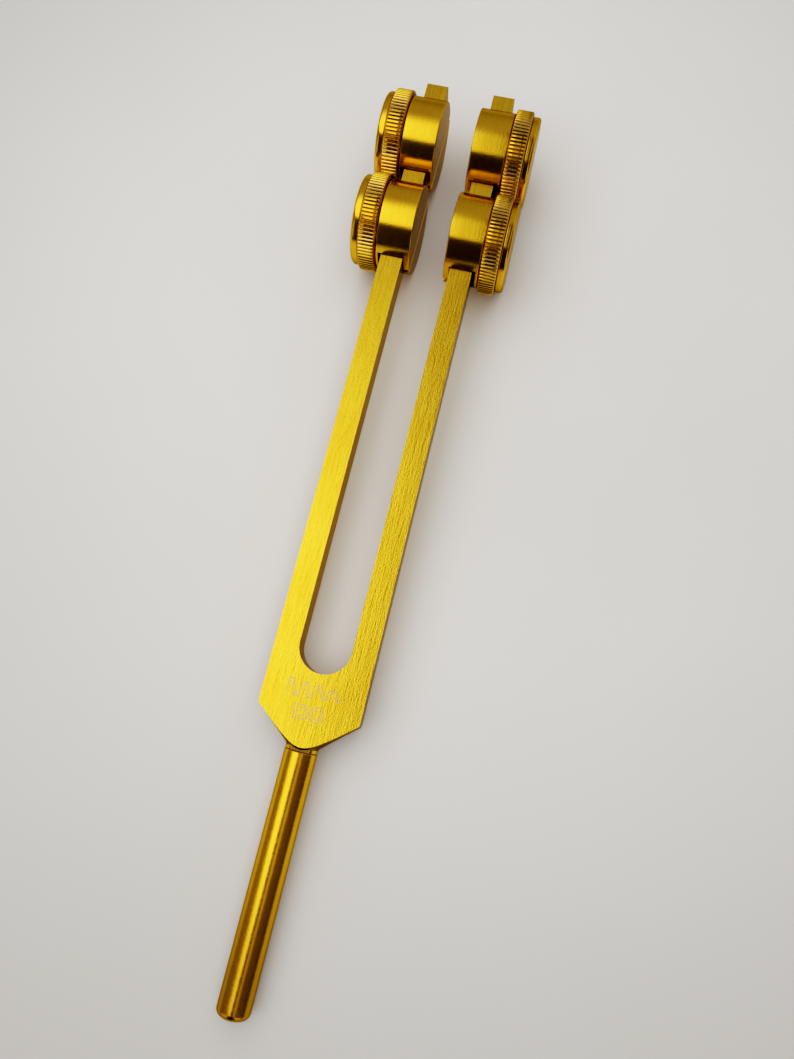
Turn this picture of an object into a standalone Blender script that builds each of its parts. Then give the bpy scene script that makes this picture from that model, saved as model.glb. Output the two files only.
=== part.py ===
"""Weighted tuning fork: a slotted flat bar with a turned cone and a round stem, and four
clamp weights that slide on its two tines.

Every sub-part is one closed solid.  The fork is modelled in its own frame (millimetres in
the constants, metres in the scene): x across the tines, y from the stem's foot to the tine
tips, z out of the flat face, with the mid-plane at z = 0.  The whole assembly is then
pitched about X so that the stem's foot and the knurled wheels of the lower weights stand
on the ground plane, which is how the object lies on a table.
"""
import math

import bmesh
import bpy
from mathutils import Vector

MM = 0.001

# ---- fork blank -------------------------------------------------------------------------
BAR_WIDTH = 25.4           # over both tines (one-inch bar)
BAR_THICK = 7.5            # flat to flat
TINE_WIDTH = 6.1
SLOT_WIDTH = BAR_WIDTH - 2 * TINE_WIDTH
SLOT_BOTTOM_Y = 79.3       # lowest point of the round slot bottom
TIP_Y = 247.6              # tine end faces
EDGE_BREAK = 0.3           # chamfer on the bar's long edges
CONE_RADIUS_0 = 3.75       # the turned shoulder's radius at CONE_Y_0 ...
CONE_Y_0 = 61.4
CONE_SLOPE = 1.17          # ... and how much it grows per millimetre of length
NECK_Y = 60.85             # lower face of the yoke, where the stem's shoulder meets it
NECK_RADIUS = 4.0
NECK_HALF_FLAT = 3.1       # the neck is relieved front and back
SOCKET_RADIUS = 2.7
SOCKET_TOP_Y = 70.3

# ---- stem -------------------------------------------------------------------------------
STEM_RADIUS = 4.07
STEM_TOP_Y = 60.55
STEM_CHAMFER = 0.3
FOOT_ROUND = 1.6
SPIGOT_RADIUS = 2.4
SPIGOT_TOP_Y = 69.8

# ---- clamp weights (x is the distance from the fork's centre line, outwards) -------------
LOWER_Y = 203.6
UPPER_Y = 230.6
BODY_X0 = 4.8              # inner end of the weight
BODY_X1 = 14.15
BODY_RADIUS = 11.95
BODY_CHAMFER = 0.3
WINDOW_X0 = 6.3            # the wall the tine bears on is 0.3 mm from the tine
WINDOW_X1 = 13.6
WINDOW_HALF_Z = 4.1
SLIT_Z0 = -2.4             # a narrow slit across the inner end, into the window
SLIT_Z1 = -0.9
HUB_RADIUS = 7.0
HUB_X1 = 17.6
HUB_BORE = 2.55
PAD_RECESS_RADIUS = 3.4
PAD_RECESS_X1 = 15.6

WHEEL_X0 = 14.5
WHEEL_X1 = 19.4
WHEEL_RADIUS = 13.1        # over the knurl crests
KNURL_TEETH = 84
KNURL_DEPTH = 0.45
WHEEL_RECESS_RADIUS = 7.4
WHEEL_WEB_X = 17.95
WHEEL_BORE = 2.5
HEAD_SEAT_X = 18.6
HEAD_SEAT_RADIUS = 4.1

COVER_X0 = 19.7
COVER_X1 = 21.6
COVER_RADIUS = 12.0

SCREW_RADIUS = 2.2
SCREW_TIP_X = 14.5
HEAD_X0 = 18.9
HEAD_X1 = 19.4
HEAD_RADIUS = 3.8

PAD_RADIUS = 3.1
PAD_X0 = 13.0
PAD_X1 = 14.2

ROUND_STEPS = 40
SMALL_STEPS = 28

# ---- how it lies on the table --------------------------------------------------------------
FOOT_CONTACT_Y = FOOT_ROUND
PITCH = 0.0
for _ in range(20):
    PITCH = math.asin((WHEEL_RADIUS - STEM_RADIUS * math.cos(PITCH)) / (LOWER_Y - FOOT_CONTACT_Y))

# ---- start from an empty scene ---------------------------------------------------------------
for old in list(bpy.data.objects):
    bpy.data.objects.remove(old, do_unlink=True)

scene = bpy.context.scene
PARTS = bpy.data.collections.new("tuning_fork")
CUTTERS = bpy.data.collections.new("cutters")
scene.collection.children.link(PARTS)
scene.collection.children.link(CUTTERS)

rig = bpy.data.objects.new("fork_frame", None)
PARTS.objects.link(rig)


def material(name, color, metallic, roughness):
    mat = bpy.data.materials.new(name)
    mat.use_nodes = True
    bsdf = mat.node_tree.nodes["Principled BSDF"]
    bsdf.inputs["Base Color"].default_value = (*color, 1.0)
    bsdf.inputs["Metallic"].default_value = metallic
    bsdf.inputs["Roughness"].default_value = roughness
    return mat


GOLD = {
    "fork": material("brushed_gold", (0.78, 0.56, 0.07), 1.0, 0.34),
    "stem": material("polished_gold", (0.76, 0.53, 0.07), 1.0, 0.2),
    "body": material("turned_gold", (0.76, 0.54, 0.07), 1.0, 0.24),
    "knurl": material("knurled_gold", (0.72, 0.47, 0.08), 1.0, 0.3),
    "cover": material("cover_gold", (0.76, 0.54, 0.07), 1.0, 0.22),
    "screw": material("screw_steel", (0.55, 0.55, 0.56), 1.0, 0.3),
    "pad": material("pad_brass", (0.70, 0.52, 0.22), 1.0, 0.35),
}


def link(obj, cutter=False):
    (CUTTERS if cutter else PARTS).objects.link(obj)
    obj.parent = rig
    if cutter:
        obj.hide_render = True
        obj.display_type = "WIRE"
    return obj


def smooth(mesh):
    mesh.shade_smooth()
    mesh.set_sharp_from_angle(angle=math.radians(32))


def lathe(name, profile, steps, cutter=False):
    """Turn a profile of (radius, height) points, in mm, about the local Z axis."""
    mesh = bpy.data.meshes.new(name)
    bm = bmesh.new()
    verts = [bm.verts.new((r * MM, 0.0, z * MM)) for r, z in profile]
    for a, b in zip(verts, verts[1:]):
        bm.edges.new((a, b))
    if profile[0][0] > 0:
        bm.edges.new((verts[-1], verts[0]))
    bm.to_mesh(mesh)
    bm.free()
    obj = link(bpy.data.objects.new(name, mesh), cutter)
    screw = obj.modifiers.new("turn", "SCREW")
    screw.axis = "Z"
    screw.angle = 2 * math.pi
    screw.steps = steps
    screw.render_steps = steps
    screw.use_merge_vertices = True
    screw.merge_threshold = 1e-6
    return obj


def box(name, low, high, cutter=False):
    """An axis-parallel box between two corners, in mm."""
    mesh = bpy.data.meshes.new(name)
    bm = bmesh.new()
    bmesh.ops.create_cube(bm, size=1.0)
    size = [(b - a) * MM for a, b in zip(low, high)]
    mid = [(a + b) / 2 * MM for a, b in zip(low, high)]
    bmesh.ops.scale(bm, vec=Vector(size), verts=bm.verts)
    bmesh.ops.translate(bm, vec=Vector(mid), verts=bm.verts)
    bm.to_mesh(mesh)
    bm.free()
    return link(bpy.data.objects.new(name, mesh), cutter)


def cylinder_z(name, radius, x, y, z0, z1, steps, cutter=False):
    """A cylinder along the local Z axis, in mm."""
    mesh = bpy.data.meshes.new(name)
    bm = bmesh.new()
    bmesh.ops.create_cone(bm, cap_ends=True, segments=steps, radius1=radius * MM,
                          radius2=radius * MM, depth=(z1 - z0) * MM)
    bmesh.ops.translate(bm, vec=Vector((x * MM, y * MM, (z0 + z1) / 2 * MM)), verts=bm.verts)
    bm.to_mesh(mesh)
    bm.free()
    return link(bpy.data.objects.new(name, mesh), cutter)


def boolean(obj, cutter, operation):
    mod = obj.modifiers.new(cutter.name, "BOOLEAN")
    mod.operation = operation
    mod.solver = "EXACT"
    mod.object = cutter


def finish(obj, mat):
    obj.data.materials.clear()
    obj.data.materials.append(mat)
    smooth(obj.data)


ALONG_Y = (-math.pi / 2, 0.0, 0.0)      # local Z to the fork's y
OUT_RIGHT = (0.0, math.pi / 2, 0.0)     # local Z to +x
OUT_LEFT = (0.0, -math.pi / 2, 0.0)     # local Z to -x

# ---- fork body --------------------------------------------------------------------------------
half_w, half_t = BAR_WIDTH / 2, BAR_THICK / 2
fork = box("fork_body", (-half_w, NECK_Y, -half_t), (half_w, TIP_Y, half_t))
edge = fork.modifiers.new("broken_edges", "BEVEL")
edge.width = EDGE_BREAK * MM
edge.segments = 1
edge.limit_method = "ANGLE"

slot_radius = SLOT_WIDTH / 2
slot_centre = SLOT_BOTTOM_Y + slot_radius
slot_round = cylinder_z("slot_round", slot_radius, 0, slot_centre, -half_t - 2, half_t + 2, 64, True)
slot_long = box("slot_long", (-slot_radius, slot_centre, -half_t - 2), (slot_radius, TIP_Y + 3, half_t + 2), True)
boolean(slot_long, slot_round, "UNION")
boolean(fork, slot_long, "DIFFERENCE")


def cone_radius(y):
    return CONE_RADIUS_0 + CONE_SLOPE * (y - CONE_Y_0)


wide_y = 75.0
shoulder = lathe("shoulder_cone", [
    (0, TIP_Y + 3), (cone_radius(wide_y), TIP_Y + 3), (cone_radius(wide_y), wide_y),
    (cone_radius(NECK_Y - 0.01), NECK_Y - 0.01), (0, NECK_Y - 0.01)], 64, True)
shoulder.rotation_euler = ALONG_Y
boolean(fork, shoulder, "INTERSECT")

neck = lathe("neck_round", [(0, 63.2), (NECK_RADIUS, 63.2), (NECK_RADIUS, NECK_Y), (0, NECK_Y)], ROUND_STEPS, True)
neck.rotation_euler = ALONG_Y
neck_flats = box("neck_flats", (-9, 55, -NECK_HALF_FLAT), (9, 68, NECK_HALF_FLAT), True)
boolean(neck, neck_flats, "INTERSECT")
boolean(fork, neck, "UNION")

socket = lathe("stem_socket", [(0, SOCKET_TOP_Y), (SOCKET_RADIUS, SOCKET_TOP_Y), (SOCKET_RADIUS, NECK_Y - 2),
                               (0, NECK_Y - 2)], SMALL_STEPS, True)
socket.rotation_euler = ALONG_Y
boolean(fork, socket, "DIFFERENCE")
finish(fork, GOLD["fork"])

# ---- stem ----------------------------------------------------------------------------------------
profile = [(0, SPIGOT_TOP_Y), (SPIGOT_RADIUS - 0.4, SPIGOT_TOP_Y), (SPIGOT_RADIUS, SPIGOT_TOP_Y - 0.4),
           (SPIGOT_RADIUS, STEM_TOP_Y), (STEM_RADIUS - STEM_CHAMFER, STEM_TOP_Y),
           (STEM_RADIUS, STEM_TOP_Y - STEM_CHAMFER)]
for i in range(7):
    a = math.radians(90 * i / 6)
    profile.append((STEM_RADIUS - FOOT_ROUND + FOOT_ROUND * math.cos(a), FOOT_ROUND - FOOT_ROUND * math.sin(a)))
profile.append((0, 0))
stem = lathe("stem", profile, ROUND_STEPS)
stem.rotation_euler = ALONG_Y
finish(stem, GOLD["stem"])


# ---- clamp weights -------------------------------------------------------------------------------
def knurled_blank(name):
    """A straight-knurled cylinder along the local Z axis: one V-shaped tooth per step."""
    mesh = bpy.data.meshes.new(name)
    bm = bmesh.new()
    bmesh.ops.create_circle(bm, cap_ends=True, segments=2 * KNURL_TEETH, radius=WHEEL_RADIUS * MM)
    for i, v in enumerate(sorted(bm.verts, key=lambda v: math.atan2(v.co.y, v.co.x))):
        if i % 2:
            v.co *= (WHEEL_RADIUS - KNURL_DEPTH) / WHEEL_RADIUS
    grown = bmesh.ops.extrude_face_region(bm, geom=list(bm.faces))
    top = [g for g in grown["geom"] if isinstance(g, bmesh.types.BMVert)]
    bmesh.ops.translate(bm, vec=Vector((0, 0, (WHEEL_X1 - WHEEL_X0) * MM)), verts=top)
    bmesh.ops.translate(bm, vec=Vector((0, 0, WHEEL_X0 * MM)), verts=bm.verts)
    bmesh.ops.recalc_face_normals(bm, faces=bm.faces)
    bm.to_mesh(mesh)
    bm.free()
    return link(bpy.data.objects.new(name, mesh))


def weight(tag, side, y):
    """One clamp weight: body, knurled wheel, cover disc, clamp screw and pressure pad."""
    turn = OUT_RIGHT if side > 0 else OUT_LEFT
    place = Vector((0, y * MM, 0))

    def put(obj):
        obj.location = place
        obj.rotation_euler = turn
        return obj

    body = put(lathe(tag + "_clamp_body", [
        (0, 12.6), (PAD_RECESS_RADIUS, 12.6), (PAD_RECESS_RADIUS, PAD_RECESS_X1), (HUB_BORE, PAD_RECESS_X1),
        (HUB_BORE, HUB_X1), (HUB_RADIUS - 0.3, HUB_X1), (HUB_RADIUS, HUB_X1 - 0.3), (HUB_RADIUS, BODY_X1),
        (BODY_RADIUS - BODY_CHAMFER, BODY_X1), (BODY_RADIUS, BODY_X1 - BODY_CHAMFER),
        (BODY_RADIUS, BODY_X0 + BODY_CHAMFER), (BODY_RADIUS - BODY_CHAMFER, BODY_X0), (0, BODY_X0)], ROUND_STEPS))
    window = put(box(tag + "_window", (-WINDOW_HALF_Z, -14, WINDOW_X0), (WINDOW_HALF_Z, 14, WINDOW_X1), True))
    boolean(body, window, "DIFFERENCE")
    # the turned body's local X points down on the right-hand weights and up on the left-hand ones
    slit_low, slit_high = sorted((-side * SLIT_Z0, -side * SLIT_Z1))
    slit = put(box(tag + "_slit", (slit_low, -14, BODY_X0 - 2), (slit_high, 14, WINDOW_X0 + 1), True))
    boolean(body, slit, "DIFFERENCE")
    finish(body, GOLD["body"])

    wheel = put(knurled_blank(tag + "_knurled_wheel"))
    bore = put(lathe(tag + "_wheel_bore", [
        (0, WHEEL_X1 + 1), (HEAD_SEAT_RADIUS, WHEEL_X1 + 1), (HEAD_SEAT_RADIUS, HEAD_SEAT_X),
        (WHEEL_BORE, HEAD_SEAT_X), (WHEEL_BORE, WHEEL_WEB_X), (WHEEL_RECESS_RADIUS, WHEEL_WEB_X),
        (WHEEL_RECESS_RADIUS, WHEEL_X0 - 1), (0, WHEEL_X0 - 1)], SMALL_STEPS, True))
    boolean(wheel, bore, "DIFFERENCE")
    finish(wheel, GOLD["knurl"])

    rim = [(0, COVER_X1)]
    for i in range(4):
        a = math.radians(90 - 30 * i)
        rim.append((COVER_RADIUS - 0.9 + 0.9 * math.cos(a), COVER_X1 - 0.9 + 0.9 * math.sin(a)))
    rim += [(COVER_RADIUS, COVER_X0 + 0.25), (COVER_RADIUS - 0.25, COVER_X0), (0, COVER_X0)]
    cover = put(lathe(tag + "_cover_disc", rim, ROUND_STEPS))
    finish(cover, GOLD["cover"])

    screw = put(lathe(tag + "_clamp_screw", [
        (0, HEAD_X1), (HEAD_RADIUS - 0.2, HEAD_X1), (HEAD_RADIUS, HEAD_X1 - 0.2), (HEAD_RADIUS, HEAD_X0),
        (SCREW_RADIUS, HEAD_X0), (SCREW_RADIUS, SCREW_TIP_X + 0.4), (SCREW_RADIUS - 0.4, SCREW_TIP_X),
        (0, SCREW_TIP_X)], 24))
    finish(screw, GOLD["screw"])

    pad = put(lathe(tag + "_pressure_pad", [
        (0, PAD_X1), (PAD_RADIUS - 0.2, PAD_X1), (PAD_RADIUS, PAD_X1 - 0.2), (PAD_RADIUS, PAD_X0 + 0.2),
        (PAD_RADIUS - 0.2, PAD_X0), (0, PAD_X0)], 24))
    finish(pad, GOLD["pad"])


for side, side_name in ((-1, "left"), (1, "right")):
    for y, level in ((LOWER_Y, "lower"), (UPPER_Y, "upper")):
        weight(side_name + "_" + level, side, y)

# ---- lay it down: pitch about X, centre it along Y, stand it on z = 0 --------------------------------
rig.rotation_euler = (PITCH, 0.0, 0.0)
bpy.context.view_layer.update()
deps = bpy.context.evaluated_depsgraph_get()
low, high = Vector((1e9,) * 3), Vector((-1e9,) * 3)
for obj in PARTS.objects:
    if obj.type != "MESH":
        continue
    done = obj.evaluated_get(deps)
    mesh = done.to_mesh()
    for v in mesh.vertices:
        p = done.matrix_world @ v.co
        low = Vector(map(min, low, p))
        high = Vector(map(max, high, p))
    done.to_mesh_clear()
rig.location = (0.0, -(low.y + high.y) / 2, -low.z)
bpy.context.view_layer.update()
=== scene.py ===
import math

import bmesh
import bpy
import numpy as np
from mathutils import Matrix, Vector


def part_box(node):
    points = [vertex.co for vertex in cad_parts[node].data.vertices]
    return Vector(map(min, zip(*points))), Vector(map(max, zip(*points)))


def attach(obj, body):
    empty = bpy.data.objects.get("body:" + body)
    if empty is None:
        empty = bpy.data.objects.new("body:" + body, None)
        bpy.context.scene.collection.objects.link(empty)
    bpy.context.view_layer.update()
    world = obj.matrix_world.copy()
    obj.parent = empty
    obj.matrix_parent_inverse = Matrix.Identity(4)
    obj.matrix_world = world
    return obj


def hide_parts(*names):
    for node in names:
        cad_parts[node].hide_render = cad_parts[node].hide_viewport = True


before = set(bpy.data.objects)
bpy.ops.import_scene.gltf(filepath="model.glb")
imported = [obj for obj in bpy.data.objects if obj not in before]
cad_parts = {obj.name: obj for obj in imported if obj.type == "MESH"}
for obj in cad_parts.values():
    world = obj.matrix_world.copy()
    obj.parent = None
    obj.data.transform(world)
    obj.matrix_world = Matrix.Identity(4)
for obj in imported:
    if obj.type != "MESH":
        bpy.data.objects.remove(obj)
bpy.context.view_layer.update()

MM = 0.001

# ---------------------------------------------------------------------------------------
# The fork's own frame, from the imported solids: x across the tines, y from the stem's foot
# to the tips, z out of the flat face.  All shapes below are in millimetres in that frame.
# ---------------------------------------------------------------------------------------
LOWER_Y, UPPER_Y = 203.6, 230.6


def centre(node):
    lo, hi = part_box(node)
    return (lo + hi) / 2


c_low, c_up = centre("right_lower_cover_disc"), centre("right_upper_cover_disc")
PITCH = math.atan2(c_up.z - c_low.z, c_up.y - c_low.y)
fork_dir = Vector((0, math.cos(PITCH), math.sin(PITCH)))
origin = Vector((0, c_low.y, c_low.z)) - fork_dir * (LOWER_Y * MM)
FORK = Matrix.Translation(origin) @ Matrix.Rotation(PITCH, 4, "X")

BAR_W, BAR_T, TINE_W = 25.4, 7.5, 6.1
SLOT_R = (BAR_W - 2 * TINE_W) / 2
SLOT_C = 79.3 + SLOT_R
TIP_Y, NECK_Y = 247.6, 60.45
STEM_R, STEM_TOP = 4.07, 60.4       # the stem butts against the neck with a hairline joint
BODY_R, WHEEL_R, COVER_R, END_X = 11.95, 13.1, 12.0, 4.8
TEETH = 84


# ---------------------------------------------------------------------------------------
# mesh helpers
# ---------------------------------------------------------------------------------------
def new_object(name, verts, faces, matrix=None):
    mesh = bpy.data.meshes.new(name)
    mesh.from_pydata([tuple(v) for v in verts], [], faces)
    mesh.update()
    obj = bpy.data.objects.new(name, mesh)
    bpy.context.scene.collection.objects.link(obj)
    if matrix is not None:
        obj.matrix_world = matrix
    return obj


def revolve(name, profile, steps, closed=False, radial=None):
    """Surface of revolution about local Z.  profile: (r, z) in mm, outside in order; points
    with r = 0 become poles.  radial(theta array, r, z) may change the radius of a ring."""
    if np.ndim(steps):
        theta = np.asarray(steps, float)
    else:
        theta = np.arange(steps) * (2 * np.pi / steps)
    n = len(theta)
    verts, rings = [], []
    for r, z in profile:
        if r <= 1e-9:
            rings.append([len(verts)])
            verts.append((0.0, 0.0, z * MM))
        else:
            rr = np.full(n, float(r)) if radial is None else radial(theta, r, z)
            start = len(verts)
            verts += [(a * MM * math.cos(t), a * MM * math.sin(t), z * MM) for a, t in zip(rr, theta)]
            rings.append(list(range(start, start + n)))
    faces = []
    pairs = list(zip(rings, rings[1:])) + ([(rings[-1], rings[0])] if closed else [])
    for a, b in pairs:
        for i in range(n):
            j = (i + 1) % n
            if len(a) == 1 and len(b) == 1:
                continue
            if len(a) == 1:
                faces.append((a[0], b[i], b[j]))
            elif len(b) == 1:
                faces.append((a[i], b[0], a[j]))
            else:
                faces.append((a[i], b[i], b[j], a[j]))
    obj = new_object(name, verts, faces)
    fix_normals(obj.data)
    return obj


def fix_normals(mesh):
    bm = bmesh.new()
    bm.from_mesh(mesh)
    bmesh.ops.recalc_face_normals(bm, faces=bm.faces)
    bm.to_mesh(mesh)
    bm.free()


def shade(obj, angle=28):
    """Smooth shading with the large faces' own normals kept, so flats and bands stay true."""
    obj.data.shade_smooth()
    obj.data.set_sharp_from_angle(angle=math.radians(angle))
    mod = obj.modifiers.new("normals", "WEIGHTED_NORMAL")
    mod.mode = "FACE_AREA"
    mod.weight = 80
    mod.keep_sharp = True
    bpy.context.view_layer.update()
    bake_modifiers(obj)


def arc(cx, cz, r, a0, a1, n):
    """(r, z) points of an arc, angles in degrees."""
    return [(cx + r * math.cos(math.radians(a0 + (a1 - a0) * i / n)),
             cz + r * math.sin(math.radians(a0 + (a1 - a0) * i / n))) for i in range(n + 1)]


def bake_modifiers(obj):
    deps = bpy.context.evaluated_depsgraph_get()
    mesh = bpy.data.meshes.new_from_object(obj.evaluated_get(deps))
    obj.modifiers.clear()
    old = obj.data
    obj.data = mesh
    bpy.data.meshes.remove(old)
    mesh.name = obj.name


def cut(obj, cutter, operation):
    mod = obj.modifiers.new(cutter.name, "BOOLEAN")
    mod.operation = operation
    mod.solver = "EXACT"
    mod.object = cutter
    bpy.context.view_layer.update()
    bake_modifiers(obj)
    mesh = cutter.data
    bpy.data.objects.remove(cutter)
    bpy.data.meshes.remove(mesh)


def block(name, low, high):
    bm = bmesh.new()
    bmesh.ops.create_cube(bm, size=1.0)
    for v in bm.verts:
        v.co = Vector([((a + b) / 2 + c * (b - a)) * MM for a, b, c in zip(low, high, v.co)])
    mesh = bpy.data.meshes.new(name)
    bm.to_mesh(mesh)
    bm.free()
    obj = bpy.data.objects.new(name, mesh)
    bpy.context.scene.collection.objects.link(obj)
    return obj


def round_edges(obj, width, pick, segments=3, min_angle=24):
    """Rounds the convex edges that pick(mid point in mm) accepts."""
    bm = bmesh.new()
    bm.from_mesh(obj.data)
    bmesh.ops.remove_doubles(bm, verts=bm.verts, dist=2e-7)
    layer = bm.edges.layers.float.get("bevel_weight_edge") or bm.edges.layers.float.new("bevel_weight_edge")
    for e in bm.edges:
        if len(e.link_faces) != 2:
            continue
        if not e.is_convex or e.calc_face_angle(0.0) < math.radians(min_angle):
            continue
        if pick((e.verts[0].co + e.verts[1].co) / 2 / MM):
            e[layer] = 1.0
    bm.to_mesh(obj.data)
    bm.free()
    mod = obj.modifiers.new("edges", "BEVEL")
    mod.limit_method = "WEIGHT"
    mod.width = width * MM
    mod.segments = segments
    mod.profile = 0.5
    mod.use_clamp_overlap = True
    mod.loop_slide = True
    bake_modifiers(obj)


# ---------------------------------------------------------------------------------------
# node helpers
# ---------------------------------------------------------------------------------------
class Nodes:
    def __init__(self, tree):
        self.tree = tree

    def add(self, kind, **props):
        node = self.tree.nodes.new(kind)
        for k, v in props.items():
            setattr(node, k, v)
        return node

    def put(self, value, socket):
        if isinstance(value, (int, float)):
            socket.default_value = value
        elif isinstance(value, (tuple, list)):
            size = len(socket.default_value)
            socket.default_value = tuple(value)[:size] + ((1.0,) if size == 4 and len(value) == 3 else ())
        else:
            self.tree.links.new(value, socket)

    def math(self, op, a, b=0.0, c=0.0, clamp=False):
        node = self.add("ShaderNodeMath", operation=op, use_clamp=clamp)
        for v, s in zip((a, b, c), node.inputs):
            self.put(v, s)
        return node.outputs[0]

    def step(self, value, lo, hi, a=0.0, b=1.0):
        """Smooth step of value from a to b between lo and hi."""
        node = self.add("ShaderNodeMapRange", interpolation_type="SMOOTHSTEP")
        for v, s in zip((value, lo, hi, a, b), ("Value", "From Min", "From Max", "To Min", "To Max")):
            self.put(v, node.inputs[s])
        return node.outputs["Result"]

    def ramp(self, value, lo, hi, a, b):
        node = self.add("ShaderNodeMapRange")
        for v, s in zip((value, lo, hi, a, b), ("Value", "From Min", "From Max", "To Min", "To Max")):
            self.put(v, node.inputs[s])
        return node.outputs["Result"]

    def mix(self, fac, a, b):
        node = self.add("ShaderNodeMix", data_type="RGBA")
        self.put(fac, node.inputs[0])
        self.put(a, node.inputs[6])
        self.put(b, node.inputs[7])
        return node.outputs[2]

    def noise(self, vector, scale, detail=2.0, rough=0.5):
        node = self.add("ShaderNodeTexNoise")
        self.put(vector, node.inputs["Vector"])
        node.inputs["Scale"].default_value = scale
        node.inputs["Detail"].default_value = detail
        node.inputs["Roughness"].default_value = rough
        return node.outputs["Fac"]

    def scaled(self, vector, scale):
        node = self.add("ShaderNodeVectorMath", operation="MULTIPLY")
        self.put(vector, node.inputs[0])
        node.inputs[1].default_value = scale
        return node.outputs[0]

    def combine(self, x, y, z):
        node = self.add("ShaderNodeCombineXYZ")
        for v, s in zip((x, y, z), node.inputs):
            self.put(v, s)
        return node.outputs[0]

    def bump(self, height, strength, distance, normal=None):
        node = self.add("ShaderNodeBump")
        node.inputs["Strength"].default_value = strength
        node.inputs["Distance"].default_value = distance
        self.put(height, node.inputs["Height"])
        if normal is not None:
            self.put(normal, node.inputs["Normal"])
        return node.outputs["Normal"]


def start_material(name, metallic, roughness, color):
    mat = bpy.data.materials.new(name)
    mat.use_nodes = True
    n = Nodes(mat.node_tree)
    bsdf = mat.node_tree.nodes["Principled BSDF"]
    bsdf.inputs["Metallic"].default_value = metallic
    bsdf.inputs["Roughness"].default_value = roughness
    bsdf.inputs["Base Color"].default_value = (*color, 1.0)
    coord = n.add("ShaderNodeTexCoord").outputs["Object"]
    xyz = n.add("ShaderNodeSeparateXYZ")
    n.put(coord, xyz.inputs[0])
    return mat, n, bsdf, coord, xyz.outputs


# anodised gold: one tint for all pieces, a little deeper or redder where the dye took more
GOLD = (0.90, 0.545, 0.040)
GOLD_DEEP = (0.80, 0.455, 0.028)
GOLD_RED = (0.78, 0.40, 0.030)
EDGE_TINT = (0.42, 0.36, 0.26, 1.0)


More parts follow.
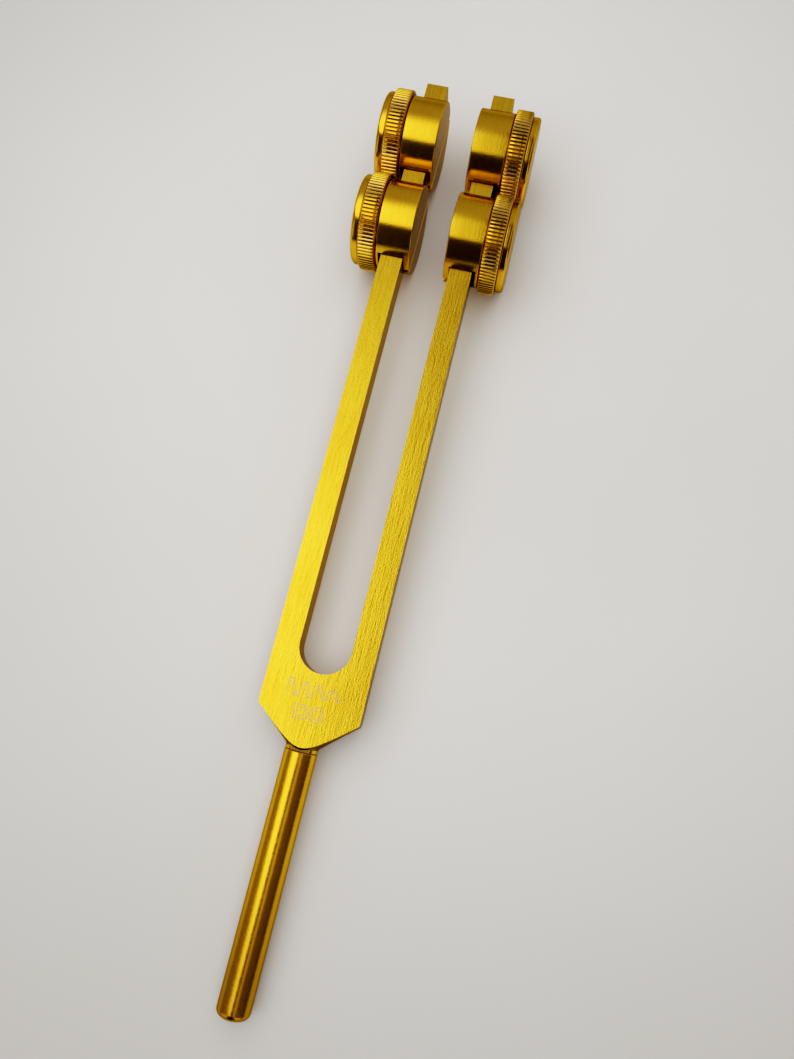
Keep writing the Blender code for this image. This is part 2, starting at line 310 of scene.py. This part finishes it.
def satin_gold():
    """The fork's flat faces: brushing along the length, specks, the etched mark, and painted shade on the shoulder, the
    neck relief and the rounded edges.
    """
    mat, n, bsdf, coord, (x, y, z) = start_material("satin_gold", 1.0, 0.3, GOLD)
    bsdf.inputs["Specular Tint"].default_value = EDGE_TINT
    hair = n.noise(n.scaled(coord, (3000, 260, 3000)), 1.0, 2.0, 0.6)
    streak = n.noise(n.scaled(coord, (1700, 130, 1700)), 1.0, 2.0, 0.6)
    lane = n.noise(n.scaled(coord, (260, 12, 260)), 1.0, 2.0, 0.5)
    speck = n.noise(n.scaled(coord, (3000, 1800, 3000)), 1.0, 2.0, 0.65)
    cloud = n.noise(coord, 60, 3.0, 0.55)
    tone = n.math("ADD", n.math("MULTIPLY", streak, 0.42), n.math("MULTIPLY", speck, 0.33))
    tone = n.math("ADD", tone, n.math("MULTIPLY", cloud, 0.25))
    color = n.mix(n.step(tone, 0.36, 0.58), (0.82, 0.48, 0.030), (0.96, 0.615, 0.050))
    # etched mark on the yoke's front: a decaying wave over a ring and a square
    xm, ym, zm = (n.math("MULTIPLY", v, 1000.0) for v in (x, y, z))
    front = n.step(zm, 3.70, 3.74)

    def line(distance, half):
        return n.step(distance, half, half + 0.10, 1.0, 0.0)

    def band(value, lo, hi):
        return n.math("MULTIPLY", n.step(value, lo, lo + 0.05), n.step(value, hi - 0.05, hi, 1.0, 0.0))

    wave_y = 74.9
    amp = n.ramp(xm, -6.9, 7.1, 1.75, 0.75)
    k = 2 * math.pi / 3.5
    phase = n.math("MULTIPLY", n.math("ADD", xm, 6.9), k)
    wave = n.math("MULTIPLY", n.math("SINE", phase), amp)
    slope = n.math("MULTIPLY", n.math("MULTIPLY", n.math("COSINE", phase), amp), k)
    steep = n.math("SQRT", n.math("ADD", n.math("MULTIPLY", slope, slope), 1.0))
    off = n.math("ABSOLUTE", n.math("DIVIDE", n.math("SUBTRACT", n.math("SUBTRACT", ym, wave_y), wave), steep))
    mark = n.math("MULTIPLY", line(n.math("ABSOLUTE", n.math("SUBTRACT", off, 0.34)), 0.08), band(xm, -6.9, 7.1))
    rx = n.math("SUBTRACT", xm, 1.95)
    ry = n.math("SUBTRACT", ym, 69.6)
    rr = n.math("SQRT", n.math("ADD", n.math("MULTIPLY", rx, rx), n.math("MULTIPLY", ry, ry)))
    for radius in (1.85, 1.1):
        mark = n.math("MAXIMUM", mark, line(n.math("ABSOLUTE", n.math("SUBTRACT", rr, radius)), 0.08))
    dx = n.math("ABSOLUTE", n.math("SUBTRACT", xm, -2.15))
    dy = n.math("ABSOLUTE", ry)
    dd = n.math("MAXIMUM", dx, dy)
    for radius in (1.65, 0.95):
        mark = n.math("MAXIMUM", mark, line(n.math("ABSOLUTE", n.math("SUBTRACT", dd, radius)), 0.08))
    grit = n.noise(coord, 5200, 2.0, 0.6)
    mark = n.math("MULTIPLY", n.math("MULTIPLY", mark, front), n.ramp(grit, 0.35, 0.6, 0.45, 0.95), clamp=True)
    color = n.mix(mark, color, (0.84, 0.60, 0.33))
    # painted shade: the turned shoulder, the neck's relieved flats and the rounded edges are darkened in the base
    # colour, standing in for their shade and dark reflections
    radius_mm = n.math("SQRT", n.math("ADD", n.math("MULTIPLY", xm, xm), n.math("MULTIPLY", zm, zm)))
    above = n.math("SUBTRACT", n.math("SUBTRACT", ym, 61.4), n.math("DIVIDE", n.math("SUBTRACT", radius_mm, 3.75), 1.17))
    side = n.step(n.math("ABSOLUTE", zm), 3.60, 3.70, 1.0, 0.0)
    neck = n.step(ym, 61.25, 61.5, 1.0, 0.0)
    flat = n.step(n.math("ABSOLUTE", zm), 2.98, 3.07)
    plain = n.math("SUBTRACT", 1.0, n.math("MULTIPLY", neck, n.math("SUBTRACT", 1.0, flat)))
    shoulder_painted_shade = n.math("MULTIPLY", n.math("MULTIPLY", n.step(above, 0.10, 0.22, 1.0, 0.0), side), plain)
    relief_painted_shade = n.math("MULTIPLY", n.math("MULTIPLY", n.step(ym, 61.7, 61.9, 1.0, 0.0), flat), side)
    shoulder_painted_shade = n.math("MAXIMUM", shoulder_painted_shade, relief_painted_shade)
    edge_painted_shade = n.math("MULTIPLY", n.step(n.math("ABSOLUTE", zm), 3.715, 3.748, 1.0, 0.0), n.step(n.math("ABSOLUTE", zm), 3.45, 3.54))
    # painted shade along the rounded edges of the faces
    color = n.mix(n.math("MULTIPLY", edge_painted_shade, 0.85), color, (0.22, 0.145, 0.03))
    # painted shade on the shoulder cone and the neck relief, strongest next to the neck
    color = n.mix(n.math("MULTIPLY", shoulder_painted_shade, n.step(ym, 61.6, 67.0, 0.90, 0.50)), color, (0.17, 0.10, 0.014))
    n.put(color, bsdf.inputs["Base Color"])
    rough = n.ramp(n.math("ADD", n.math("MULTIPLY", streak, 0.5), n.math("MULTIPLY", speck, 0.5)), 0.3, 0.7, 0.14, 0.25)
    n.put(n.math("ADD", rough, n.math("MULTIPLY", mark, 0.30)), bsdf.inputs["Roughness"])
    normal = n.bump(hair, 0.35, 0.00004)
    normal = n.bump(streak, 0.30, 0.00006, normal)
    normal = n.bump(lane, 0.05, 0.00014, normal)
    normal = n.bump(speck, 0.50, 0.00005, normal)
    n.put(normal, bsdf.inputs["Normal"])
    return mat


def turned_gold(name, rough_lo, rough_hi, ring_scale=5200.0, rings_by=0.22, specks_by=0.12, deep=GOLD_DEEP,
                light=GOLD, wobble=0.8, speck_scale=2600.0, foot=None, grooves=None):
    """Lathe-turned anodised gold.  Local Z is the turning axis: fine rings run round it."""
    mat, n, bsdf, coord, (x, y, z) = start_material(name, 1.0, (rough_lo + rough_hi) / 2, light)
    bsdf.inputs["Specular Tint"].default_value = EDGE_TINT
    r = n.math("SQRT", n.math("ADD", n.math("MULTIPLY", x, x), n.math("MULTIPLY", y, y)))
    spin = n.math("ARCTAN2", y, x)
    ring_at = n.combine(n.math("MULTIPLY", z, ring_scale), n.math("MULTIPLY", r, ring_scale), n.math("MULTIPLY", spin, 2 * wobble))
    rings = n.noise(ring_at, 1.0, 2.0, 0.6)
    wide_at = n.combine(n.math("MULTIPLY", z, ring_scale * 0.28), n.math("MULTIPLY", r, ring_scale * 0.28),
                        n.math("MULTIPLY", spin, wobble))
    wide = n.noise(wide_at, 1.0, 2.0, 0.5)
    speck = n.noise(coord, speck_scale, 2.0, 0.65)
    cloud = n.noise(coord, 140, 3.0, 0.55)
    tone = n.math("ADD", n.math("MULTIPLY", rings, 0.35), n.math("MULTIPLY", speck, 0.35))
    tone = n.math("ADD", tone, n.math("MULTIPLY", cloud, 0.3))
    color = n.mix(n.step(tone, 0.36, 0.62), deep, light)
    if foot:
        color = n.mix(n.step(z, 0.002, 0.042, foot, 0.0), color, (0.42, 0.20, 0.02))
    if grooves:
        color = n.mix(n.step(r, grooves[0], grooves[1], 0.8, 0.0), color, (0.74, 0.44, 0.22))
    n.put(color, bsdf.inputs["Base Color"])
    n.put(n.ramp(n.math("ADD", n.math("MULTIPLY", rings, 0.5), n.math("MULTIPLY", speck, 0.5)), 0.3, 0.7, rough_lo, rough_hi),
          bsdf.inputs["Roughness"])
    normal = n.bump(rings, rings_by, 0.00004)
    normal = n.bump(wide, rings_by * 0.6, 0.00008, normal)
    normal = n.bump(speck, specks_by, 0.00004, normal)
    n.put(normal, bsdf.inputs["Normal"])
    return mat


def plain_metal(name, light, deep, rough_lo, rough_hi, metal=1.0):
    mat, n, bsdf, coord, (x, y, z) = start_material(name, metal, (rough_lo + rough_hi) / 2, light)
    grain = n.noise(n.scaled(coord, (4200, 4200, 900)), 1.0, 3.0, 0.6)
    cloud = n.noise(coord, 220, 3.0, 0.55)
    n.put(n.mix(n.step(cloud, 0.35, 0.65), deep, light), bsdf.inputs["Base Color"])
    n.put(n.ramp(grain, 0.3, 0.7, rough_lo, rough_hi), bsdf.inputs["Roughness"])
    n.put(n.bump(grain, 0.25, 0.00003), bsdf.inputs["Normal"])
    return mat


M_FORK = satin_gold()
M_STEM = turned_gold("bright_turned_gold", 0.15, 0.26, 3400.0, 0.08, 0.50, foot=0.55)
M_BODY = turned_gold("fine_turned_gold", 0.12, 0.20, 3600.0, 0.07, 0.42)
M_KNURL = turned_gold("knurled_gold", 0.15, 0.22, 3600.0, 0.0, 0.05, deep=(0.85, 0.50, 0.035), light=(0.92, 0.575, 0.048),
                      grooves=(0.01286, 0.01303))
M_COVER = turned_gold("cover_turned_gold", 0.10, 0.18, 3600.0, 0.12, 0.12)
M_STEEL = plain_metal("screw_steel", (0.56, 0.55, 0.54), (0.44, 0.43, 0.42), 0.22, 0.38)
M_BRASS = plain_metal("pad_brass", (0.72, 0.52, 0.24), (0.60, 0.41, 0.17), 0.25, 0.4)


def place(obj, mat, matrix, body, node):
    obj.data.materials.clear()
    obj.data.materials.append(mat)
    obj.matrix_world = matrix
    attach(obj, body)
    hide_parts(node)
    return obj


# ---------------------------------------------------------------------------------------
# fork body
# ---------------------------------------------------------------------------------------
def make_fork():
    hw, ht = BAR_W / 2, BAR_T / 2
    outline = [(-hw, 56.0), (hw, 56.0), (hw, TIP_Y), (SLOT_R, TIP_Y)]
    for i in range(65):
        a = -math.pi * i / 64
        outline.append((SLOT_R * math.cos(a), SLOT_C + SLOT_R * math.sin(a)))
    outline += [(-SLOT_R, TIP_Y), (-hw, TIP_Y)]
    bm = bmesh.new()
    loop = [bm.verts.new((x * MM, y * MM, -ht * MM)) for x, y in outline]
    face = bm.faces.new(loop)
    up = bmesh.ops.extrude_face_region(bm, geom=[face])
    bmesh.ops.translate(bm, vec=(0, 0, BAR_T * MM), verts=[g for g in up["geom"] if isinstance(g, bmesh.types.BMVert)])
    bmesh.ops.recalc_face_normals(bm, faces=bm.faces)
    mesh = bpy.data.meshes.new("fork_bar")
    bm.to_mesh(mesh)
    bm.free()
    fork = bpy.data.objects.new("fork_bar", mesh)
    bpy.context.scene.collection.objects.link(fork)

    along_y = Matrix.Rotation(-math.pi / 2, 4, "X")

    def cone_r(y):
        return 3.75 + 1.17 * (y - 61.4)

    cone = revolve("cone", [(0, 60.85), (cone_r(60.85), 60.85)] + [(cone_r(y), y) for y in (64, 67, 70, 73, 75)] +
                   [(cone_r(75), TIP_Y + 4), (0, TIP_Y + 4)], 160)
    cone.matrix_world = along_y
    cut(fork, cone, "INTERSECT")
    # the neck: a short round collar, filleted into the shoulder, relieved front and back
    neck_profile = [(0, NECK_Y), (3.85, NECK_Y), (4.0, NECK_Y + 0.12), (4.0, 61.2)] + \
        [(4.0 + 0.9 * (1 - math.cos(math.radians(a))), 61.2 + 0.95 * math.sin(math.radians(a))) for a in (15, 30, 45, 58)] + \
        [(0, 63.2)]
    neck = revolve("neck", neck_profile, 96)
    neck.matrix_world = along_y
    flats = block("flats", (-9, 55, -3.1), (9, 68, 3.1))
    cut(neck, flats, "INTERSECT")
    # the cutter matrices are not the identity
    cut(fork, neck, "UNION")
    socket = revolve("socket", [(0, 70.3), (2.7, 70.3), (2.7, NECK_Y - 2), (0, NECK_Y - 2)], 48)
    socket.matrix_world = along_y
    cut(fork, socket, "DIFFERENCE")
    round_edges(fork, 0.20, lambda p: p.y > 61.6 and not (abs(p.x) < 3 and abs(p.z) < 3), 3)
    fork.name = "fork_body_fine"
    fork.data.name = "fork_body_fine"
    shade(fork, 30)
    return place(fork, M_FORK, FORK, "fork", "fork_body")


make_fork()

# ---------------------------------------------------------------------------------------
# stem
# ---------------------------------------------------------------------------------------
stem_profile = [(0, 69.8), (2.0, 69.8), (2.4, 69.4), (2.4, STEM_TOP), (3.72, STEM_TOP)] + \
    arc(3.77, STEM_TOP - 0.3, 0.3, 80, 0, 5) + \
    [(STEM_R, y) for y in (56, 48, 40, 32, 24, 16, 10, 6, 3)] + \
    arc(STEM_R - 1.6, 1.6, 1.6, 0, -90, 10) + [(1.2, 0.0), (1.05, 0.06), (0.0, 0.1)]
stem = revolve("stem_fine", stem_profile, 144)
shade(stem, 30)
place(stem, M_STEM, FORK @ Matrix.Rotation(-math.pi / 2, 4, "X"), "fork", "stem")


# ---------------------------------------------------------------------------------------
# clamp weights
# ---------------------------------------------------------------------------------------
def body_mesh(name, sign):
    profile = [(0, 12.6), (3.4, 12.6), (3.4, 15.6), (2.55, 15.6), (2.55, 17.45), (2.75, 17.6), (6.7, 17.6), (7.0, 17.3),
               (7.0, 14.38), (11.5, 14.38)] + \
        arc(BODY_R - 0.25, 14.38 - 0.25, 0.25, 90, 0, 4) + \
        [(BODY_R, 12.0), (BODY_R, 9.8), (BODY_R, 7.6)] + \
        arc(BODY_R - 0.3, END_X + 0.3, 0.3, 0, -90, 4) + \
        [(9.0, END_X), (6.0, END_X), (3.0, END_X), (0.9, END_X), (0, END_X)]
    obj = revolve(name, profile, 160)
    window = block("window", (-4.1, -14, 6.3), (4.1, 14, 13.6))
    cut(obj, window, "DIFFERENCE")
    low, high = sorted((sign * 2.4, sign * 0.9))
    cut(obj, block("slit", (low, -14, 3.0), (high, 14, 7.0)), "DIFFERENCE")
    # its lower lip is dressed back at a slight slope
    lip = block("lip", (-1, -14, 3.0), (1, 14, 5.3))
    for v in lip.data.vertices:
        inner = v.co.z < 4 * MM
        v.co.x = (sign * 1.5 if v.co.x * sign < 0 else sign * (2.81 if inner else 2.4)) * MM
    fix_normals(lip.data)
    cut(obj, lip, "DIFFERENCE")
    round_edges(obj, 0.16, lambda p: math.hypot(p.x, p.y) > 10.6 and
                (abs(abs(p.x) - 4.1) < 0.02 or abs(p.z - 6.3) < 0.02 or abs(p.z - 13.6) < 0.02), 2, 30)
    shade(obj, 30)
    return obj


def tooth_angles():
    """Angles for one knurl tooth, repeated: groove bottom, flanks and crest."""
    phases = (-0.5, -0.44, -0.31, -0.19, 0.0, 0.19, 0.31, 0.44)
    step = 2 * math.pi / TEETH
    return np.array([(i + p) * step for i in range(TEETH) for p in phases])


def tooth_depth(theta):
    """0 on a crest, 1 in a groove."""
    t = np.abs((theta * TEETH / (2 * math.pi) + 0.5) % 1.0 - 0.5)
    d = np.clip((t - 0.19) / 0.28, 0, 1)
    return d ** 0.85


def wheel_mesh(name):
    x0, x1, deep = 14.5, 19.4, 0.28

    def radial(theta, r, z):
        if r < 12.4:
            return np.full(len(theta), float(r))
        return np.minimum(WHEEL_R - deep * tooth_depth(theta), r)

    profile = [(7.4, x0), (11.8, x0), (12.15, x0), (12.40, x0 + 0.07), (12.70, x0 + 0.18), (12.92, x0 + 0.28),
               (13.06, x0 + 0.38), (WHEEL_R, x0 + 0.46), (WHEEL_R, 16.2), (WHEEL_R, 17.7), (WHEEL_R, x1 - 0.42),
               (13.06, x1 - 0.35), (12.96, x1 - 0.27), (12.80, x1 - 0.16), (12.62, x1 - 0.04), (12.50, x1), (11.8, x1),
               (4.1, x1), (4.1, 18.6), (2.5, 18.6), (2.5, 17.95), (7.4, 17.95)]
    obj = revolve(name, profile, tooth_angles(), closed=True, radial=radial)
    shade(obj, 40)
    return obj


def cover_mesh(name):
    x0, x1 = 19.5, 21.6
    profile = [(0, x1 - 0.25), (0.8, x1 - 0.2), (1.1, x1 - 0.05), (1.3, x1 - 0.05), (5.0, x1 - 0.05), (9.3, x1 - 0.05),
               (9.45, x1 - 0.12), (9.7, x1 - 0.12), (9.85, x1)] + \
        [(10.6, x1)] + arc(COVER_R - 0.85, x1 - 0.85, 0.85, 90, 0, 8) + \
        [(COVER_R, 20.3), (COVER_R, x0 + 0.3)] + arc(COVER_R - 0.2, x0 + 0.2, 0.2, 0, -90, 3) + [(8.0, x0), (0, x0)]
    obj = revolve(name, profile, 160)
    shade(obj, 30)
    return obj


def screw_mesh(name):
    r0, pitch, deep = 2.2, 0.8, 0.42
    steps = 48

    def radial(theta, r, z):
        if r < r0 - 1e-6 or z < 14.95 or z > 18.55:
            return np.full(len(theta), float(r))
        t = (z / pitch - theta / (2 * math.pi)) % 1.0
        return r - deep * np.clip(1 - np.abs(t - 0.5) / 0.44, 0, 1)

    profile = [(0, 19.2), (1.1, 19.2), (1.3, 19.4), (3.6, 19.4), (3.8, 19.2), (3.8, 19.0), (3.7, 18.9), (r0, 18.9), (r0, 18.7)]
    z = 18.6
    while z > 14.9:
        profile.append((r0, round(z, 4)))
        z -= 0.1
    profile += [(r0 - 0.02, 14.85), (1.8, 14.5), (0, 14.5)]
    obj = revolve(name, profile, steps, radial=radial)
    shade(obj, 35)
    return obj


def pad_mesh(name):
    profile = [(0, 14.05), (0.6, 14.08), (0.9, 14.2), (2.9, 14.2), (3.05, 14.15), (3.1, 14.0), (3.1, 13.2), (3.02, 13.06),
               (2.88, 13.0), (1.5, 13.0), (0, 13.0)]
    obj = revolve(name, profile, 64)
    shade(obj, 35)
    return obj


for side_name, sign in (("left", -1), ("right", 1)):
    for level, y in (("lower", LOWER_Y), ("upper", UPPER_Y)):
        tag = side_name + "_" + level
        seat = Matrix.Translation(FORK @ Vector((0, y * MM, 0))) @ Matrix.Rotation(sign * math.pi / 2, 4, "Y")
        lean = Matrix.Rotation(sign * PITCH, 4, "Z")        # the fork's pitch, about the weight's own axis
        # each wheel was left at its own angle when it was tightened
        turn = Matrix.Rotation(math.radians({"left_lower": 1.3, "left_upper": 3.6, "right_lower": 2.4, "right_upper": 0.4}[tag]), 4, "Z")
        for mesh_of, mat, matrix, body, node, slot in (
                (body_mesh(tag + "_body_fine", sign), M_BODY, lean, "weight", "clamp_body", "turned_gold"),
                (wheel_mesh(tag + "_wheel_fine"), M_KNURL, lean @ turn, "wheel", "knurled_wheel", "knurled_gold"),
                (cover_mesh(tag + "_cover_fine"), M_COVER, lean, "wheel", "cover_disc", "cover_gold"),
                (screw_mesh(tag + "_screw_fine"), M_STEEL, lean, "wheel", "clamp_screw", "screw_steel"),
                (pad_mesh(tag + "_pad_fine"), M_BRASS, lean, "pad", "pressure_pad", "pad_brass")):
            mesh_of.data.transform(matrix)
            place(mesh_of, mat, seat, tag + "_" + body, tag + "_" + node)

# ---------------------------------------------------------------------------------------
# table, light and camera
# ---------------------------------------------------------------------------------------
size = 3.0
floor = new_object("floor", [(-size, -size, 0), (size, -size, 0), (size, size, 0), (-size, size, 0)], [(0, 1, 2, 3)])
floor.location.z = -0.0001
mat, n, bsdf, coord, (x, y, z) = start_material("table_top", 0.0, 0.55, (0.80, 0.79, 0.78))
mottle = n.noise(coord, 9.0, 3.0, 0.5)
top = n.mix(n.step(mottle, 0.3, 0.7), (0.77, 0.765, 0.755), (0.80, 0.795, 0.79))
# painted light falloff: the table's colour is darkened from a bright pool round the fork out to 0.29 m, and is paler
# again beyond 0.36 m
painted_falloff_distance = n.math("SQRT", n.math("ADD", n.math("POWER", n.math("SUBTRACT", x, 0.03), 2.0), n.math("POWER", n.math("SUBTRACT", y, 0.075), 2.0)))
top = n.mix(n.step(painted_falloff_distance, 0.08, 0.29), top, (0.555, 0.545, 0.53))
n.put(n.mix(n.step(painted_falloff_distance, 0.36, 0.75), top, (0.86, 0.85, 0.83)), bsdf.inputs["Base Color"])
n.put(n.bump(n.noise(coord, 900.0, 3.0, 0.6), 0.05, 0.0002), bsdf.inputs["Normal"])
floor.data.materials.append(mat)

world = bpy.data.worlds.new("studio")
bpy.context.scene.world = world
world.use_nodes = True
w = Nodes(world.node_tree)
world.node_tree.nodes.clear()
direction = w.add("ShaderNodeTexCoord").outputs["Generated"]
d = w.add("ShaderNodeSeparateXYZ")
w.put(direction, d.inputs[0])
up = w.math("MAXIMUM", d.outputs[2], 0.03)
gx = w.math("DIVIDE", d.outputs[0], up)
gy = w.math("DIVIDE", d.outputs[1], up)


def window(value, lo0, lo1, hi0, hi1):
    return w.math("MULTIPLY", w.step(value, lo0, lo1), w.step(value, hi0, hi1, 1.0, 0.0))


# what the metal mirrors: a large soft panel overhead to the left, a pale wall beyond the tips, and a dim warm room
along = window(gy, -0.70, -0.62, 0.12, 0.77)
left_edge = w.math("ADD", gx, w.math("ADD", w.math("MULTIPLY", gy, 2.3), 1.5))
panel = w.math("MULTIPLY", w.math("MULTIPLY", w.step(left_edge, -0.35, 0.15), w.step(gx, -0.18, 0.01, 1.0, 0.0)), along)
wall = w.math("MULTIPLY", w.step(gy, 0.38, 0.74), w.ramp(gy, 0.6, 4.0, 1.0, 0.8))
strip = w.math("MULTIPLY", window(gx, 0.10, 0.20, 0.34, 0.60), along)
right = w.math("MULTIPLY", w.math("MULTIPLY", w.step(gx, 0.05, 0.6), w.ramp(gx, 0.6, 4.0, 1.0, 0.35)), w.step(d.outputs[1], -0.60, -0.35))
left = w.math("MULTIPLY", w.step(left_edge, -0.35, 0.15, 1.0, 0.0), w.step(d.outputs[1], -0.65, -0.35))
dim = w.math("MULTIPLY", w.math("SUBTRACT", 1.0, w.math("MAXIMUM", panel, wall), clamp=True), w.step(d.outputs[1], -0.85, -0.5, 0.45, 1.0))


def tinted(level, color):
    node = w.add("ShaderNodeVectorMath", operation="SCALE")
    node.inputs[0].default_value = color
    w.put(level, node.inputs["Scale"])
    return node.outputs[0]


def plus(a, b):
    node = w.add("ShaderNodeVectorMath", operation="ADD")
    w.put(a, node.inputs[0])
    w.put(b, node.inputs[1])
    return node.outputs[0]


mirrored = plus(tinted(w.math("MULTIPLY", panel, 1.84), (1.0, 1.03, 0.98)), tinted(w.math("MULTIPLY", wall, 0.44), (1.0, 0.97, 0.95)))
mirrored = plus(mirrored, tinted(w.math("MULTIPLY", dim, 0.045), (1.0, 0.55, 0.40)))
mirrored = plus(mirrored, tinted(w.math("MULTIPLY", strip, 0.62), (1.0, 0.90, 0.80)))
# soft light from both sides beyond the stem's foot, so the flat faces stay gold when seen from the tips
rear = w.math("MULTIPLY", w.step(w.math("ABSOLUTE", d.outputs[0]), 0.22, 0.40), w.step(d.outputs[1], -0.62, -0.46, 1.0, 0.0))
rear = w.math("MULTIPLY", rear, w.step(d.outputs[2], 0.04, 0.16))
mirrored = plus(mirrored, tinted(w.math("MULTIPLY", rear, 0.75), (1.0, 0.97, 0.92)))
mirrored = plus(mirrored, tinted(w.math("MULTIPLY", right, 0.14), (1.0, 0.80, 0.65)))
mirrored = plus(mirrored, tinted(w.math("MULTIPLY", left, 0.27), (1.0, 0.85, 0.70)))
shine = w.add("ShaderNodeBackground")
w.put(mirrored, shine.inputs["Color"])
ambient = w.add("ShaderNodeBackground")
ambient.inputs["Color"].default_value = (1.0, 0.95, 0.87, 1.0)
ambient.inputs["Strength"].default_value = 0.37
light_path = w.add("ShaderNodeLightPath")
both = w.add("ShaderNodeMixShader")
direct = w.math("SUBTRACT", 1.0, light_path.outputs["Diffuse Depth"], clamp=True)
w.put(w.math("MULTIPLY", light_path.outputs["Is Glossy Ray"], direct), both.inputs[0])
world.node_tree.links.new(ambient.outputs[0], both.inputs[1])
world.node_tree.links.new(shine.outputs[0], both.inputs[2])
backdrop = w.add("ShaderNodeBackground")
backdrop.inputs["Color"].default_value = (0.70, 0.69, 0.67, 1.0)
seen = w.add("ShaderNodeMixShader")
world.node_tree.links.new(light_path.outputs["Is Camera Ray"], seen.inputs[0])
world.node_tree.links.new(both.outputs[0], seen.inputs[1])
world.node_tree.links.new(backdrop.outputs[0], seen.inputs[2])
out = w.add("ShaderNodeOutputWorld")
world.node_tree.links.new(seen.outputs[0], out.inputs["Surface"])


def soft_light(name, where, at, width, height, watts, color):
    data = bpy.data.lights.new(name, "AREA")
    data.shape = "RECTANGLE"
    data.size, data.size_y = width, height
    data.energy = watts
    data.color = color
    obj = bpy.data.objects.new(name, data)
    bpy.context.scene.collection.objects.link(obj)
    obj.location = where
    obj.rotation_mode = "QUATERNION"
    obj.rotation_quaternion = (Vector(at) - Vector(where)).to_track_quat("-Z", "Y")
    obj.visible_glossy = False
    return obj


soft_light("key", (-0.07, 0.06, 0.42), (-0.01, 0.05, 0.0), 0.86, 0.66, 2.62, (1.0, 0.99, 0.985))

# the photograph's viewpoint, found by fitting a camera to the fork: position and axes in the fork's frame
CAM_FOCAL = 27.0937
CAM_AXES = [[0.970361, 0.238329, -0.039997], [-0.224922, 0.951216, 0.211183], [0.088377, -0.195927, 0.976628]]
CAM_AT = [27.676, 79.233, 200.052]
cam_data = bpy.data.cameras.new("camera")
cam_data.sensor_width = 36.0
cam_data.lens = CAM_FOCAL
cam_data.clip_start, cam_data.clip_end = 0.01, 20.0
camera = bpy.data.objects.new("camera", cam_data)
bpy.context.scene.collection.objects.link(camera)
local = Matrix([[CAM_AXES[c][r] for c in range(3)] + [CAM_AT[r] * MM] for r in range(3)] + [[0, 0, 0, 1]])
camera.matrix_world = FORK @ local
bpy.context.scene.camera = camera
bpy.context.scene.view_settings.view_transform = "Standard"
bpy.context.scene.view_settings.look = "None"
# a camera's tone response: gentle in the highlights, firm in the shadows
view = bpy.context.scene.view_settings
view.use_curve_mapping = True
tone = view.curve_mapping
tone.white_level = (1.8, 1.8, 1.8)
curve = tone.curves[3]
TONE = [(0, 0), (0.01, 0.0021), (0.03, 0.0104), (0.06, 0.0283), (0.1, 0.059), (0.17, 0.1241), (0.27, 0.2273), (0.4, 0.3597),
        (0.55, 0.4914), (0.75, 0.6344), (1.0, 0.7731), (1.35, 0.91), (1.8, 1.0)]
for px, py in TONE[1:-1]:
    curve.points.new(px / 1.8, py)
curve.points[0].location = (0, 0)
curve.points[-1].location = (1, 1)
tone.update()

bpy.context.view_layer.update()
